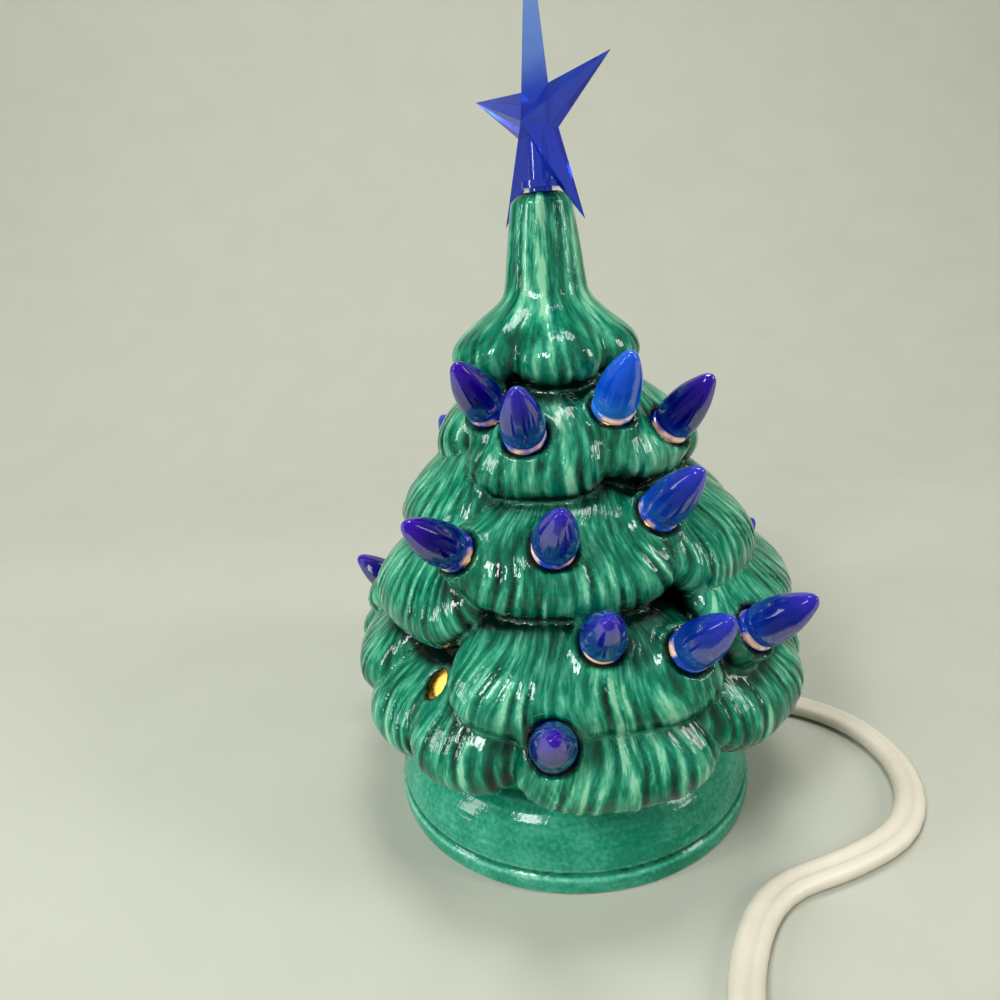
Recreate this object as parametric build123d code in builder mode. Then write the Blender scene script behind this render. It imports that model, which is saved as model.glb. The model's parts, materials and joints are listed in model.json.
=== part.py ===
"""A small ceramic Christmas tree lamp: a hollow glazed tree on a separate glazed base.

Millimetres, +Z up, origin on the tree's axis at the foot of the base. The front faces -Y.
Azimuths are degrees about the axis, 0 at the front and 90 at the right (+X).
"""

import os
from math import cos, hypot, pi, radians, sin, sqrt, tan

from build123d import *

os.makedirs("parts", exist_ok=True)

# Fits shared by all pieces
overrun = 5.0  # how far a cutter runs past what it cuts
seat_gap = 0.3  # between a loose piece and the glazed seat that it rests on

# Base
base_radius = 31.0
base_height = 12.0
rim_height = 3.0
groove_depth = 0.9
groove_height = 0.7
dome_setback = 0.4
dome_bulge = 1.5
base_top_radius = 26.0
base_wall = 3.4
base_plate = 3.5
socket_hole_radius = 12.6
collar_height = 3.0
collar_wall = 3.2
foot_wall = 4.2
foot_clearance = 0.4  # between the collar and the foot ring of the tree

# Tree
tree_height = 86.6
tree_radius = 39.0
tree_wall = 3.6
tip_radius = 4.3
tip_flat_radius = 3.0
tip_round = 1.4
bough_length = 10.5  # half the length of a bough down its slope
bough_thickness = 5.8  # half its thickness
bough_slope = 48.0  # degrees below level
crown_bough_length = 7.6
crown_bough_thickness = 4.6
crown_bough_slope = 52.0
bough_overlap_share = 1.08  # a bough is this much wider than its span
quarter_azimuth = 15.0  # the middle of the front quarter, with most seats clear of the cuts
quarter_names = ("front", "right", "back", "left")
core_shares = ((0.718, 0.092), (0.718, 0.162), (0.200, 0.716))  # radius, height

# Boughs by tier: azimuth, height of the lip, reach and span in degrees
crown_bough_shares = [(azimuth, 0.686, 0.374, 56) for azimuth in (2, 62, 122, 182, 242, 302)]
bough_shares = [
    (-14, 0.512, 0.538, 66), (43, 0.519, 0.538, 56), (100, 0.502, 0.577, 58),
    (158, 0.514, 0.551, 58), (216, 0.508, 0.551, 58), (274, 0.531, 0.500, 58),
    (-3, 0.351, 0.731, 68), (56, 0.339, 0.782, 53), (112, 0.358, 0.731, 58),
    (170, 0.346, 0.731, 58), (232, 0.358, 0.731, 56), (296, 0.415, 0.656, 60),
    (0, 0.184, 0.897, 68), (62, 0.236, 0.923, 54), (118, 0.190, 0.897, 58),
    (178, 0.196, 0.897, 60), (240, 0.184, 0.897, 56), (300, 0.277, 0.821, 54),
    (6, 0.078, 0.987, 50), (-31, 0.090, 0.974, 32), (-57, 0.078, 0.974, 36),
    (47, 0.113, 1.000, 46), (92, 0.095, 0.987, 50), (140, 0.084, 0.987, 50),
    (190, 0.090, 0.987, 50), (238, 0.095, 0.987, 48), (277, 0.124, 0.949, 40),
]

# Plastic flame bulbs
bulb_length = 11.6  # from the collar to the tip
bulb_radius = 3.3
bulb_neck_radius = 2.4
bulb_tip_radius = 0.5
collar_radius = 3.0
collar_thickness = 0.8
peg_radius = 2.0
peg_tip_radius = 1.6
peg_length = 7.5
peg_clearance = 0.3
hole_run = 12.5  # how far a hole runs on from the peg, into the tree's hollow
seat_sink = 0.9  # how far a seat is sunk below the surface of the bough
seat_clearance = 0.45  # beside the flame, as the bulb is drawn out
bulb_travel = 9.0
flame_shares = ((0.94, 0.10), (1.0, 0.30), (0.80, 0.62), (0.40, 0.90))  # radius, length
seat_line_shares = (1.02, 0.945)  # radius at the foot, and its fall towards the tip

# Bulbs by row: azimuth, height of the seat, lean of the axis to the right and rise in degrees
bulb_shares = [
    (-40, 0.660, 10, 45), (-18, 0.615, 10, 47), (25, 0.645, -10, 52), (54, 0.590, -14, 48),
    (163, 0.640, 0, 44), (202, 0.640, 0, 44),
    (-35, 0.433, -9, 39), (-8, 0.447, 14, 45), (28, 0.476, 7, 45), (134, 0.465, 0, 40),
    (182, 0.460, 0, 40), (216, 0.465, 0, 40),
    (-124, 0.174, 8, 30), (5, 0.318, -6, 42), (24, 0.271, 5, 46), (128, 0.310, 0, 38),
    (168, 0.315, 0, 38), (206, 0.305, 0, 38),
    (-9, 0.175, 8, 42), (41, 0.260, 6, 41), (116, 0.200, 0, 36), (166, 0.200, 0, 36),
    (206, 0.205, 0, 36),
]
empty_hole_share = (-43, 0.239, 4, 38)

# Star
star_ray = 17.0
star_top_ray = 26.5
star_notch = 5.2
star_thickness = 5.6
star_rise = 9.1  # from the tip of the tree to the centre of the star
star_yaw = -55.0
star_roll = -4.0
star_points = 5
star_peg_radius = 1.7
star_peg_length = 11.0
star_peg_clearance = 0.3
star_collar_radius = 2.8
star_collar_height = 1.0

# Lamp, a candelabra night-light lamp
lamp_foot = 6.0  # height of its contact
lamp_length = 54.0
lamp_cap_radius = 5.85
lamp_cap_length = 17.0
lamp_cap_wall = 0.4
lamp_neck_radius = 5.2
lamp_neck_length = 4.0
lamp_glass_radius = 11.0
lamp_glass_wall = 0.7
lamp_contact_radius = 2.2
lamp_contact_height = 0.9
lamp_insulator_height = 2.6
stem_radius = 1.7
stem_length = 14.0
support_radius = 0.3
support_spread = 2.6
support_length = 9.0
filament_radius = 0.25
filament_rise = 3.0
lamp_gap = 0.15  # between the small pieces inside the lamp
glass_shares = ((0.80, 0.20), (1.0, 0.43), (0.84, 0.68), (0.52, 0.90))  # radius, height

# Lamp holder
socket_radius = 8.8
socket_floor = 0.9
socket_height = 20.0  # height of its mouth
flange_radius = 15.0
flange_thickness = 1.6
thread_clearance = 0.08  # between the cap of the lamp and the threaded sleeve
sleeve_wall = 0.4
sleeve_foot = 8.0
contact_strip_width = 4.0
contact_strip_length = 9.0
contact_strip_thickness = 0.4
contact_gap = 0.1
cap_radius = 11.2
cap_wall = 1.4
cap_foot = 0.6
clip_thickness = 0.5
clip_width = 5.0
clip_reach = 4.3
clip_rise = 2.4
wire_radius = 0.7
wire_pitch = 2.0
wire_run = 4.4
wire_drop = 0.65  # below the middle of the cord

# Cord and plug
cord_radius = 2.3
cord_floor_gap = 0.1
cord_inner_height = 3.75  # where it enters the lamp holder
cord_azimuth = 112.0
cord_clearance = 0.15
notch_width = 6.4
notch_height = 6.2
coil_layers = 4
coil_layer_turns = 2.5
coil_climb_turns = 0.5
coil_radius = 25.0  # at the middle of its turns
coil_pitch = 5.2
coil_centre = (38.0, -98.0)
coil_tail_radius = 15.0
plug_length = 18.0
plug_width = 20.0
plug_thickness = 11.5
plug_neck_length = 11.0
plug_neck_radius = 3.4
plug_corner = 3.0
blade_length = 16.5
blade_width = 6.3
blade_thickness = 1.5
blade_spacing = 12.7
blade_hole_radius = 1.6
blade_hole_inset = 3.6
blade_tip_chamfer = 0.5
tie_width = 6.0
tie_thickness = 0.8
tie_clearance = 0.3
tie_corner = 2.0
tie_angle = 28.0  # round the coil, from +X towards +Y

# The cord's route from the lamp holder, out by the notch and along the floor to its coil
cord_height = cord_radius + cord_floor_gap
coil_height = tie_thickness + tie_clearance + cord_radius + cord_floor_gap
coil_swing = coil_pitch * coil_layer_turns / 2
coil_entry = coil_centre[0] - coil_radius - coil_swing + coil_pitch * coil_climb_turns / 2
cord_points = [
    (8.2, 3.3, cord_inner_height),
    (19.5, 7.9, 3.2),
    (31.5, 12.7, cord_height),
    (44.8, 10.8, cord_height),
    (54.2, 1.0, cord_height),
    (56.0, -12.6, cord_height),
    (49.6, -24.6, cord_height),
    (37.5, -30.5, cord_height),
    (25.0, -33.6, cord_height),
    (17.2, -44.4, cord_height),
    (13.4, -57.6, 2.6),
    (9.7, -71.4, 3.0),
    (coil_entry, -85.0, coil_height),
    (coil_entry, coil_centre[1], coil_height),
]

plate_underside = base_height - base_plate
tree_top = base_height + tree_height
collar_outer = base_top_radius - foot_wall - foot_clearance


def outward(azimuth):
    """The level direction away from the trunk at an azimuth."""
    return Vector(sin(radians(azimuth)), -cos(radians(azimuth)), 0)


def sideways(azimuth):
    """The level direction across an azimuth, to the right of someone facing the tree."""
    return Vector(cos(radians(azimuth)), sin(radians(azimuth)), 0)


def tree_point(radius_share, height_share):
    """A point of the tree's half section."""
    return (radius_share * tree_radius, base_height + height_share * tree_height)


# Base: rim band, groove, dome, plate with the hole of the lamp holder, and a collar for the tree
groove_top = rim_height + groove_height
with BuildPart() as base:
    with BuildSketch(Plane.XZ):
        with BuildLine():
            dome_foot = (base_radius - dome_setback, groove_top)
            dome_top = (base_top_radius, base_height)
            Polyline(
                (base_radius - base_wall, 0),
                (base_radius, 0),
                (base_radius, rim_height),
                (base_radius - groove_depth, rim_height),
                (base_radius - groove_depth, groove_top),
                dome_foot,
            )
            SagittaArc(dome_foot, dome_top, -dome_bulge)
            Polyline(
                dome_top,
                (collar_outer, base_height),
                (collar_outer, base_height + collar_height),
                (collar_outer - collar_wall, base_height + collar_height),
                (collar_outer - collar_wall, base_height),
                (socket_hole_radius, base_height),
                (socket_hole_radius, plate_underside),
                (base_top_radius - base_wall, plate_underside),
                (base_radius - base_wall, rim_height),
                (base_radius - base_wall, 0),
            )
        make_face()
    revolve(axis=Axis.Z)
    notch_plane = Plane(
        origin=outward(cord_azimuth) * collar_outer,
        x_dir=sideways(cord_azimuth),
        z_dir=outward(cord_azimuth),
    )
    with BuildSketch(notch_plane):
        with Locations((0, (notch_height - notch_width / 2) / 2)):
            Rectangle(notch_width, notch_height - notch_width / 2)
        with Locations((0, notch_height - notch_width / 2)):
            Circle(notch_width / 2)
    extrude(amount=base_radius - collar_outer + overrun, mode=Mode.SUBTRACT)
base.part.label = "base"
export_step(base.part, "parts/base.step")


def bough(shares, length, thickness, slope):
    """One bough: an ellipsoid that leans out and down, with its lip at the stated place."""
    azimuth, lip_share, reach_share, span = shares
    down = radians(slope)
    reach = reach_share * tree_radius
    lip = base_height + lip_share * tree_height
    half_width = reach * radians(span) / 2 * bough_overlap_share
    radial = reach - hypot(length * cos(down), thickness * sin(down))
    height = lip + hypot(length * sin(down), thickness * cos(down))
    out = outward(azimuth)
    place = Plane(
        origin=out * radial + Vector(0, 0, height),
        x_dir=-out * sin(down) - Vector(0, 0, cos(down)),  # the ball's seam lies inside the tree
        z_dir=out * cos(down) - Vector(0, 0, sin(down)),
    )
    ball = Sphere(1, mode=Mode.PRIVATE)
    return place.location * scale(ball, by=(thickness, half_width, length), mode=Mode.PRIVATE)


# Tree without its holes: a tapered core with its boughs
with BuildPart() as tree_form:
    with BuildSketch(Plane.XZ):
        with BuildLine():
            Polyline(
                (0, base_height),
                (base_top_radius - foot_clearance, base_height),
                *[tree_point(*share) for share in core_shares],
                (tip_radius, tree_top - tip_round),
                (tip_flat_radius, tree_top),
                (0, tree_top),
                close=True,
            )
        make_face()
    revolve(axis=Axis.Z)
    crown = [
        bough(shares, crown_bough_length, crown_bough_thickness, crown_bough_slope)
        for shares in crown_bough_shares
    ]
    lower = [bough(shares, bough_length, bough_thickness, bough_slope) for shares in bough_shares]
    add([*crown, *lower])
tree_skin = max(tree_form.part.shells(), key=lambda shell: shell.area)  # clay fills the gaps inside


def bulb_seat(shares):
    """The plane of a bulb's seat, sunk into the bough where the bulb's axis leaves the tree."""
    azimuth, height_share, lean, rise = shares
    radius = tree_radius * (seat_line_shares[0] - seat_line_shares[1] * height_share)
    nominal = outward(azimuth) * radius + Vector(0, 0, base_height + height_share * tree_height)
    axis = outward(azimuth + lean) * cos(radians(rise)) + Vector(0, 0, sin(radians(rise)))
    hits = [hit for hit, _ in tree_skin.find_intersection_points(Axis(nominal, axis))]
    surface = max(hits, key=lambda hit: (hit - nominal).dot(axis))
    return Plane(origin=surface - axis * seat_sink, x_dir=sideways(azimuth + lean), z_dir=axis)


def upright(plane, radius, start, end):
    """A cylinder on a plane's axis, between two heights above the plane."""
    align = (Align.CENTER, Align.CENTER, Align.MIN)
    rod = Cylinder(radius, end - start, align=align, mode=Mode.PRIVATE)
    return plane.offset(start).location * rod


bulb_seats = [bulb_seat(shares) for shares in bulb_shares]
empty_seat = bulb_seat(empty_hole_share)
all_seats = [*bulb_seats, empty_seat]
pocket_radius = bulb_radius + seat_clearance
hole_radius = peg_radius + peg_clearance
hole_depth = peg_length + hole_run
star_hole_radius = star_peg_radius + star_peg_clearance
pocket_length = bulb_length + bulb_travel + overrun

# Tree: the form with its hollow, a seat and a hole for each bulb, and the star's hole
cavity_top = tree_top - star_peg_length - overrun
cavity_points = [tree_point(*share) for share in core_shares]
with BuildPart() as tree_shell:
    add(Solid(tree_skin))
    with BuildSketch(Plane.XZ):
        with BuildLine():
            Polyline(
                (0, base_height - overrun),
                (collar_outer + foot_clearance, base_height - overrun),
                (collar_outer + foot_clearance, base_height),
                *[(radius - tree_wall, height) for radius, height in cavity_points],
                (star_hole_radius + seat_gap, cavity_top),
                (0, cavity_top),
                close=True,
            )
        make_face()
    revolve(axis=Axis.Z, mode=Mode.SUBTRACT)
    pockets = [upright(seat, pocket_radius, 0, pocket_length) for seat in all_seats]
    holes = [upright(seat, hole_radius, -hole_depth, overrun) for seat in all_seats]
    star_hole = upright(Plane.XY, star_hole_radius, cavity_top - overrun, tree_top + overrun)
    add([*pockets, star_hole], mode=Mode.SUBTRACT)
    add(holes, mode=Mode.SUBTRACT)

# The one casting of the tree as four quarters that meet on two upright planes
quarter_reach = tree_radius + bulb_length
quarter_top = tree_top + overrun
for number, name in enumerate(quarter_names):
    azimuth = quarter_azimuth + 90 * number
    corner = Plane(origin=(0, 0, 0), x_dir=outward(azimuth - 45), z_dir=(0, 0, 1))
    align = (Align.MIN, Align.MIN, Align.MIN)
    with BuildPart() as quarter:
        add(tree_shell.part)
        wedge = Box(quarter_reach, quarter_reach, quarter_top, align=align, mode=Mode.PRIVATE)
        add(corner.location * wedge, mode=Mode.INTERSECT)
    quarter.part.label = f"tree_{name}"
    export_step(quarter.part, f"parts/tree_{name}.step")

# Bulbs: a peg, a collar and a flame, turned in one piece
for number, seat in enumerate(bulb_seats, start=1):
    foot = seat.offset(seat_gap)
    profile_plane = Plane(origin=foot.origin, x_dir=foot.y_dir, z_dir=foot.x_dir)
    with BuildPart() as bulb:
        with BuildSketch(profile_plane):
            with BuildLine():
                neck = (bulb_neck_radius, collar_thickness)
                tip = (bulb_tip_radius, bulb_length)
                Polyline(
                    (0, bulb_length),
                    (0, -peg_length),
                    (peg_tip_radius, -peg_length),
                    (peg_radius, 0),
                    (collar_radius, 0),
                    (collar_radius, collar_thickness),
                    neck,
                )
                Spline(
                    neck,
                    *[(radius * bulb_radius, up * bulb_length) for radius, up in flame_shares],
                    tip,
                )
                Line(tip, (0, bulb_length))
            make_face()
        revolve(axis=Axis(foot.origin, foot.z_dir))
    bulb.part.label = f"bulb_{number:02d}"
    export_step(bulb.part, f"parts/bulb_{number:02d}.step")

# Star: faceted rays about a thick middle, and a peg with a collar that sits on the tree's tip
star_centre = Vector(0, 0, tree_top + star_rise)
star_front = outward(star_yaw)
star_plane = Plane(origin=star_centre, x_dir=sideways(star_yaw), z_dir=star_front)
star_plane = star_plane.rotated((0, 0, star_roll))


def star_outline():
    """The corners of the star, from the top ray on: a ray, a notch, a ray and so on."""
    corners = []
    for ray in range(star_points):
        reach = star_ray if ray else star_top_ray
        for radius, turn in ((reach, ray), (star_notch, ray + 1 / 2)):
            angle = 2 * pi * turn / star_points
            corners.append((radius * sin(angle), radius * cos(angle)))
    return corners


with BuildPart() as star_topper:
    for side in (1, -1):
        with BuildSketch(star_plane) as outline:
            with BuildLine():
                Polyline(*star_outline(), close=True)
            make_face()
        peak = star_centre + star_plane.z_dir * (side * star_thickness / 2)
        loft(sections=[outline.sketch.face(), Vertex(peak)], ruled=True)
    collar_foot = tree_top + seat_gap
    add(upright(Plane.XY, star_collar_radius, collar_foot, collar_foot + star_collar_height))
    add(upright(Plane.XY, star_peg_radius, tree_top - star_peg_length, tree_top + star_rise))
star_topper.part.label = "star_topper"
export_step(star_topper.part, "parts/star_topper.step")

# Lamp
cap_top = lamp_foot + lamp_cap_length
glass_foot = cap_top - lamp_neck_length
glass_top = lamp_foot + lamp_length
glass_rise = glass_top - cap_top
insulator_foot = lamp_foot + lamp_contact_height
cap_bottom = insulator_foot + lamp_insulator_height / 2


def glass_profile(inset):
    """Half of the glass's outline from the neck up, set in by a wall."""
    neck = (lamp_neck_radius - inset, cap_top)
    bowl = [
        (radius * lamp_glass_radius - inset, cap_top + up * glass_rise) for radius, up in glass_shares
    ]
    Line((lamp_neck_radius - inset, glass_foot), neck)
    Spline(neck, *bowl, (0, glass_top - inset), tangents=((0, 1), (-1, 0)))


with BuildPart() as lamp_glass:
    for inset, mode in ((0, Mode.ADD), (lamp_glass_wall, Mode.SUBTRACT)):
        with BuildSketch(Plane.XZ):
            with BuildLine():
                glass_profile(inset)
                Polyline((0, glass_top - inset), (0, glass_foot), (lamp_neck_radius - inset, glass_foot))
            make_face()
        revolve(axis=Axis.Z, mode=mode)
lamp_glass.part.label = "lamp_glass"
export_step(lamp_glass.part, "parts/lamp_glass.step")

lamp_cap_bore = lamp_cap_radius - lamp_cap_wall
with BuildPart() as lamp_cap:
    add(upright(Plane.XY, lamp_cap_radius, cap_bottom, cap_top))
    add(upright(Plane.XY, lamp_cap_bore, cap_bottom, cap_top), mode=Mode.SUBTRACT)
lamp_cap.part.label = "lamp_cap"
export_step(lamp_cap.part, "parts/lamp_cap.step")

with BuildPart() as lamp_insulator:
    insulator_top = cap_bottom + lamp_insulator_height
    with BuildSketch(Plane.XZ):
        with BuildLine():
            Polyline(
                (0, insulator_foot),
                (lamp_contact_radius, insulator_foot),
                (lamp_cap_bore - lamp_gap, cap_bottom),
                (lamp_cap_bore - lamp_gap, insulator_top),
                (0, insulator_top),
                close=True,
            )
        make_face()
    revolve(axis=Axis.Z)
lamp_insulator.part.label = "lamp_insulator"
export_step(lamp_insulator.part, "parts/lamp_insulator.step")

with BuildPart() as lamp_contact:
    with BuildSketch(Plane.XZ):
        with BuildLine():
            Polyline(
                (0, lamp_foot),
                (lamp_contact_radius / 2, lamp_foot),
                (lamp_contact_radius, insulator_foot),
                (0, insulator_foot),
                close=True,
            )
        make_face()
    revolve(axis=Axis.Z)
lamp_contact.part.label = "lamp_contact"
export_step(lamp_contact.part, "parts/lamp_contact.step")

flare_radius = lamp_neck_radius - lamp_glass_wall - lamp_gap
stem_top = glass_foot + stem_length
with BuildPart() as lamp_stem:
    with BuildSketch(Plane.XZ):
        with BuildLine():
            waist = (stem_radius, glass_foot + lamp_neck_length)
            Polyline(waist, (stem_radius, stem_top), (0, stem_top), (0, glass_foot), (flare_radius, glass_foot))
            SagittaArc((flare_radius, glass_foot), waist, lamp_gap * lamp_neck_length)
        make_face()
    revolve(axis=Axis.Z)
lamp_stem.part.label = "lamp_stem"
export_step(lamp_stem.part, "parts/lamp_stem.step")

support_foot = stem_top + lamp_gap
support_top = stem_top + support_length
with BuildPart() as lamp_supports:
    for side in (1, -1):
        start = Vector(side * stem_radius / 2, 0, support_foot)
        end = Vector(side * support_spread, 0, support_top)
        lean = Plane(origin=start, z_dir=end - start)
        add(upright(lean, support_radius, 0, (end - start).length))
lamp_supports.part.label = "lamp_supports"
export_step(lamp_supports.part, "parts/lamp_supports.step")

with BuildPart() as lamp_filament:
    filament_foot = support_top + support_radius + filament_radius + lamp_gap
    with BuildLine() as filament_path:
        ThreePointArc(
            (-support_spread, 0, filament_foot),
            (0, 0, filament_foot + filament_rise),
            (support_spread, 0, filament_foot),
        )
    with BuildSketch(Plane(origin=filament_path.line @ 0, z_dir=filament_path.line % 0)):
        Circle(filament_radius)
    sweep()
lamp_filament.part.label = "lamp_filament"
export_step(lamp_filament.part, "parts/lamp_filament.step")

# Lamp holder: an insulating body with a flange under the base's plate, clipped in from below
socket_foot = lamp_foot - contact_gap - 2 * contact_strip_thickness - socket_floor
sleeve_bore = lamp_cap_radius + thread_clearance
with BuildPart() as socket_body:
    add(upright(Plane.XY, socket_radius, socket_foot, socket_height))
    add(upright(Plane.XY, flange_radius, plate_underside - flange_thickness, plate_underside))
    bore = upright(Plane.XY, sleeve_bore + sleeve_wall, socket_foot + socket_floor, socket_height)
    add(bore, mode=Mode.SUBTRACT)
socket_body.part.label = "socket_body"
export_step(socket_body.part, "parts/socket_body.step")

with BuildPart() as socket_shell:
    add(upright(Plane.XY, sleeve_bore + sleeve_wall, sleeve_foot, socket_height))
    add(upright(Plane.XY, sleeve_bore, sleeve_foot, socket_height), mode=Mode.SUBTRACT)
socket_shell.part.label = "socket_shell"
export_step(socket_shell.part, "parts/socket_shell.step")

strip_foot = socket_foot + socket_floor
with BuildPart() as socket_contact:
    with BuildSketch(Plane.XY.offset(strip_foot)):
        SlotOverall(contact_strip_length, contact_strip_width)
    extrude(amount=contact_strip_thickness)
    button_foot = strip_foot + contact_strip_thickness
    add(upright(Plane.XY, lamp_contact_radius / 2, button_foot, button_foot + contact_strip_thickness))
socket_contact.part.label = "socket_contact"
export_step(socket_contact.part, "parts/socket_contact.step")

cap_rim = plate_underside - flange_thickness
cord_bore = Plane(
    origin=Vector(0, 0, cord_inner_height), x_dir=sideways(cord_azimuth), z_dir=outward(cord_azimuth)
)
with BuildPart() as socket_cap:
    add(upright(Plane.XY, cap_radius, cap_foot, cap_rim))
    hollow = upright(Plane.XY, cap_radius - cap_wall, cap_foot + cap_wall, cap_rim)
    hole = upright(cord_bore, cord_radius + cord_clearance, 0, cap_radius + overrun)
    add([hollow, hole], mode=Mode.SUBTRACT)
socket_cap.part.label = "socket_cap"
export_step(socket_cap.part, "parts/socket_cap.step")

with BuildPart() as socket_clips:
    clip_foot = plate_underside + clip_thickness
    clip_start = socket_radius + clip_thickness / 2
    for facing in (90, -90):
        clip_plane = Plane(
            origin=sideways(facing) * (clip_width / 2),
            x_dir=outward(facing),
            z_dir=-sideways(facing),
        )
        with BuildSketch(clip_plane):
            with BuildLine():
                Polyline(
                    (clip_start, clip_foot),
                    (clip_start, base_height + clip_rise),
                    (clip_start + clip_reach, base_height + clip_thickness),
                )
            trace(line_width=clip_thickness)
        extrude(amount=clip_width)
socket_clips.part.label = "socket_clips"
export_step(socket_clips.part, "parts/socket_clips.step")

with BuildPart() as socket_wires:
    cord_end = Vector(*cord_points[0])
    for side in (1, -1):
        wire_start = cord_end + sideways(cord_azimuth) * (side * wire_pitch / 2)
        wire_start -= Vector(0, 0, wire_drop)
        inward = -outward(cord_azimuth)
        wire_start += inward * lamp_gap
        wire_plane = Plane(origin=wire_start, x_dir=sideways(cord_azimuth), z_dir=inward)
        add(upright(wire_plane, wire_radius, 0, wire_run))
        riser_foot = wire_start + inward * wire_run
        riser = Plane(origin=riser_foot, x_dir=sideways(cord_azimuth), z_dir=(0, 0, 1))
        add(upright(riser, wire_radius, -wire_radius, socket_foot - riser_foot.Z))
socket_wires.part.label = "socket_wires"
export_step(socket_wires.part, "parts/socket_wires.step")


def corner_radii(points):
    """The largest tidy radius at each corner of a route."""
    radii = []
    for before, corner, after in zip(points, points[1:], points[2:]):
        first, second = corner - before, after - corner
        turn = radians(first.get_angle(second))
        radii.append(0.45 * min(first.length, second.length) / tan(turn / 2))
    return radii


# Cord along the floor
with BuildPart() as cord_run:
    route = [Vector(*point) for point in cord_points]
    radii = corner_radii(route)
    with BuildLine() as run_path:
        FilletPolyline(*route, radius=radii)
    with BuildSketch(Plane(origin=route[0], z_dir=route[1] - route[0])):
        Circle(cord_radius)
    sweep()
run_length = run_path.wire().length
run_volume = pi * cord_radius**2 * run_length
print("cord radii", [round(radius, 1) for radius in radii])
print("cord run length", round(run_length, 1), "volume share", round(cord_run.part.volume / run_volume, 4))
cord_run.part.label = "cord_run"
export_step(cord_run.part, "parts/cord_run.step")


def smooth(share):
    """An even rise from 0 to 1."""
    share = min(max(share, 0), 1)
    return share * share * (3 - 2 * share)


# Coil: the length that is put away, wound in layers and held by a tie
coil_turns = coil_layers * coil_layer_turns
cord_diameter = 2 * cord_radius
winding_y = coil_centre[1] - cord_diameter  # the winding starts after a short straight end
coil_top = coil_height + coil_layers * coil_pitch  # of the turn that climbs off the last layer
plug_height = coil_top - coil_pitch + cord_radius + tie_clearance + plug_thickness / 2


def coil_point(turn):
    """A point of the winding: it spirals in and out by turns, and climbs a layer where it reverses."""
    spirals, spiral = divmod(turn / coil_layer_turns + coil_climb_turns / coil_layer_turns / 2, 1)
    inward = 1 if spirals % 2 == 0 else -1
    radius = coil_radius + inward * coil_swing * (1 - 2 * spiral)
    layer = min(int(turn / coil_layer_turns), coil_layers - 1)
    along = turn - layer * coil_layer_turns
    climb = smooth(1 - (coil_layer_turns - along) / coil_climb_turns)
    angle = pi + 2 * pi * turn
    return Vector(
        coil_centre[0] + radius * cos(angle),
        winding_y + radius * sin(angle),
        coil_height + coil_pitch * (layer + climb),
    )


def coil_way(turn):
    """The direction of the winding at a point."""
    step = coil_climb_turns / 100
    return (coil_point(turn + step) - coil_point(turn - step)).normalized()


def biarc(start, start_way, end, end_way):
    """Two arcs that leave a point one way and reach another point another way."""
    chord = end - start
    ways = start_way + end_way
    bend = 2 * (1 - start_way.dot(end_way))
    reach = (sqrt(chord.dot(ways) ** 2 + bend * chord.dot(chord)) - chord.dot(ways)) / bend
    middle = (start + end + (start_way - end_way) * reach) / 2
    first = TangentArc(start, middle, tangent=start_way)
    TangentArc(middle, end, tangent=first % 1)


def least_gap(line, tube_radius):
    """The least gap of a tube to itself, measured on points along its middle."""
    count = int(line.length / tube_radius)
    points = [tuple(line @ (index / count)) for index in range(count + 1)]
    apart = int(4 * tube_radius * count / line.length) + 1
    nearest = min(
        sum((a - b) ** 2 for a, b in zip(points[one], points[other]))
        for one in range(len(points))
        for other in range(one + apart, len(points))
    )
    return sqrt(nearest) - 2 * tube_radius


with BuildPart() as cord_coil:
    backward, rightward = Vector(0, -1, 0), Vector(1, 0, 0)
    quarters = int(4 * coil_turns)
    nodes = [(coil_point(0), backward)]
    nodes += [(coil_point(n / 4), coil_way(n / 4)) for n in range(1, quarters)]
    nodes.append((coil_point(coil_turns), backward))
    tail_end = nodes[-1][0] + (rightward + backward) * coil_tail_radius
    tail_end.Z = plug_height
    nodes.append((tail_end, rightward))
    cord_tip = tail_end + rightward * cord_diameter
    with BuildLine() as coil_path:
        Line(route[-1], nodes[0][0])
        for (start, start_way), (end, end_way) in zip(nodes, nodes[1:]):
            biarc(start, start_way, end, end_way)
        Line(tail_end, cord_tip)
    with BuildSketch(Plane(origin=route[-1], z_dir=backward)):
        Circle(cord_radius)
    sweep()
coil_length = coil_path.wire().length
coil_volume = pi * cord_radius**2 * coil_length
print("coil length", round(coil_length, 1), "volume share", round(cord_coil.part.volume / coil_volume, 4))
print("coil gap to itself", round(least_gap(coil_path.wire(), cord_radius), 2))
print("cord length", round(run_length + coil_length, 1))
cord_coil.part.label = "cord_coil"
export_step(cord_coil.part, "parts/cord_coil.step")

# Plug, lying on the coil: a moulded body with a tapered neck, and two flat blades
plug_plane = Plane(origin=cord_tip, x_dir=(0, 1, 0), z_dir=rightward)
with BuildPart() as plug_body:
    with BuildSketch(plug_plane) as neck_end:
        Circle(plug_neck_radius)
    with BuildSketch(plug_plane.offset(plug_neck_length)) as shoulder:
        RectangleRounded(plug_width, plug_thickness, plug_corner)
    loft()
    with BuildSketch(plug_plane.offset(plug_neck_length)):
        RectangleRounded(plug_width, plug_thickness, plug_corner)
    extrude(amount=plug_length)
plug_body.part.label = "plug_body"
export_step(plug_body.part, "parts/plug_body.step")

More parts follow.
